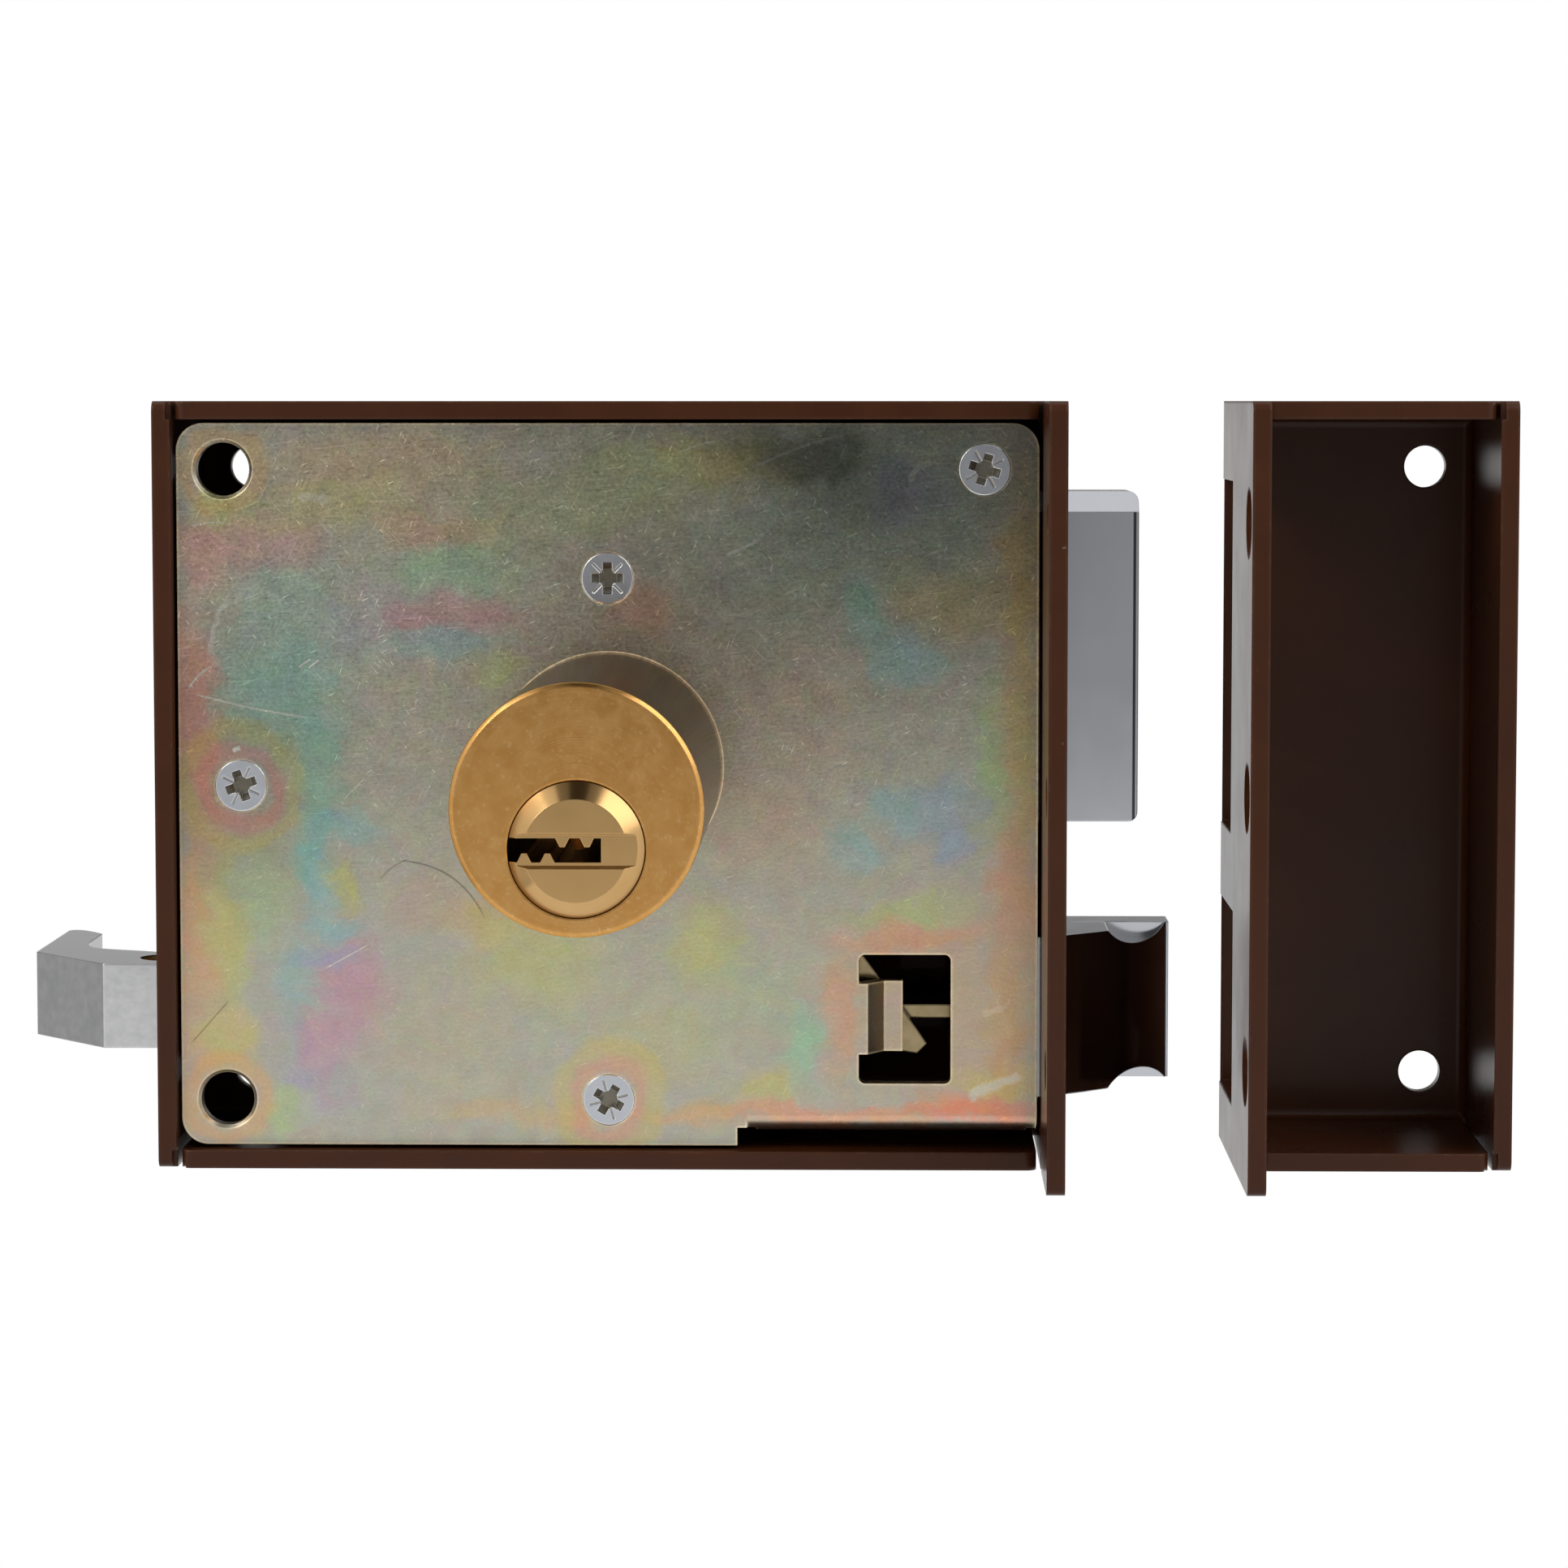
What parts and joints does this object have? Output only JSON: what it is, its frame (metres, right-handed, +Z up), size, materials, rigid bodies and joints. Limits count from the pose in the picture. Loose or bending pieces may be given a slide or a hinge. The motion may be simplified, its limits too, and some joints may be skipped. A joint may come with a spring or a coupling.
{
  "type": "rim box lock",
  "caption": "Surface-mounted box lock with a round key cylinder, thrown dead bolt, sprung latch with finger pull, and a separate keep box.",
  "frame": {"origin": "key cylinder axis where it crosses the door face, the plane of the case's rim", "axes": "+X towards the forend and the keep, +Z up, +Y into the room, away from the door"},
  "size_m": [0.1665, 0.0984, 0.085],
  "materials": {
    "brown_paint": "dark brown gloss stove enamel on folded sheet",
    "yellow_zinc": "yellow-passivated zinc plate with rainbow tints",
    "bright_zinc": "bright zinc plated steel",
    "spring_steel": "plain spring steel",
    "cylinder_brass": "satin turned brass",
    "plug_brass": "pale satin brass",
    "bolt_steel": "satin nickel-plated steel",
    "cast_nickel": "satin nickel-plated casting"
  },
  "bodies": {
    "lock_case": {"case": "brown_paint", "cover_plate": "yellow_zinc", "cover_screws": "bright_zinc", "plate_posts": "bright_zinc", "cylinder_body": "cylinder_brass", "cylinder_nut": "bright_zinc", "driver_pins": "plug_brass", "pin_springs": "spring_steel", "inner_cylinder": "cylinder_brass", "inner_cylinder_screws": "bright_zinc", "bolt_leaf_spring": "spring_steel", "spring_bracket": "bright_zinc", "latch_spring": "spring_steel", "lever_pivot": "bright_zinc", "keep_box": "brown_paint"},
    "key_plug_body": {"key_plug": "plug_brass", "key_pins": "plug_brass", "plug_clip": "bright_zinc", "drive_blade": "bright_zinc", "bolt_cam": "bright_zinc"},
    "inner_plug_body": {"inner_plug": "plug_brass", "inner_clip": "bright_zinc"},
    "deadbolt_body": {"deadbolt": "bolt_steel", "bolt_tail": "bright_zinc", "bolt_rivets": "bright_zinc"},
    "latch_body": {"latch_nose": "bolt_steel", "latch_plate": "bolt_steel", "latch_bar": "yellow_zinc", "latch_rivet": "bright_zinc", "spring_guide": "bright_zinc", "pull_handle": "cast_nickel", "pull_pin": "plug_brass"},
    "lever_body": {"latch_lever": "yellow_zinc"}
  },
  "joints": [
    {"name": "plug_turn", "type": "hinge", "parent": "lock_case", "child": "key_plug_body", "pos_m": [0, 0, -0.0039], "axis": [0, 1, 0], "range_deg": [-375, 375]},
    {"name": "deadbolt_slide", "type": "slide", "parent": "lock_case", "child": "deadbolt_body", "axis": [1, 0, 0], "range_m": [-0.0091, 0.0091]},
    {"name": "latch_slide", "type": "slide", "parent": "lock_case", "child": "latch_body", "axis": [1, 0, 0], "range_m": [-0.0124, 0], "stiffness_N_per_m": 300, "springref_m": 0.012, "deforming": ["latch_spring"]},
    {"name": "lever_swing", "type": "hinge", "parent": "lock_case", "child": "lever_body", "pos_m": [0.0205, 0, -0.0141], "axis": [0, 1, 0], "range_deg": [-3, 50]},
    {"name": "inner_plug_turn", "type": "hinge", "parent": "lock_case", "child": "inner_plug_body", "pos_m": [0, 0, -0.0039], "axis": [0, 1, 0], "range_deg": [-360, 360]}
  ],
  "couplings": [
    {"joint": "plug_turn", "follows": "deadbolt_slide", "rad_per_m": 690.46},
    {"joint": "lever_swing", "follows": "latch_slide", "rad_per_m": -63.3}
  ]
}
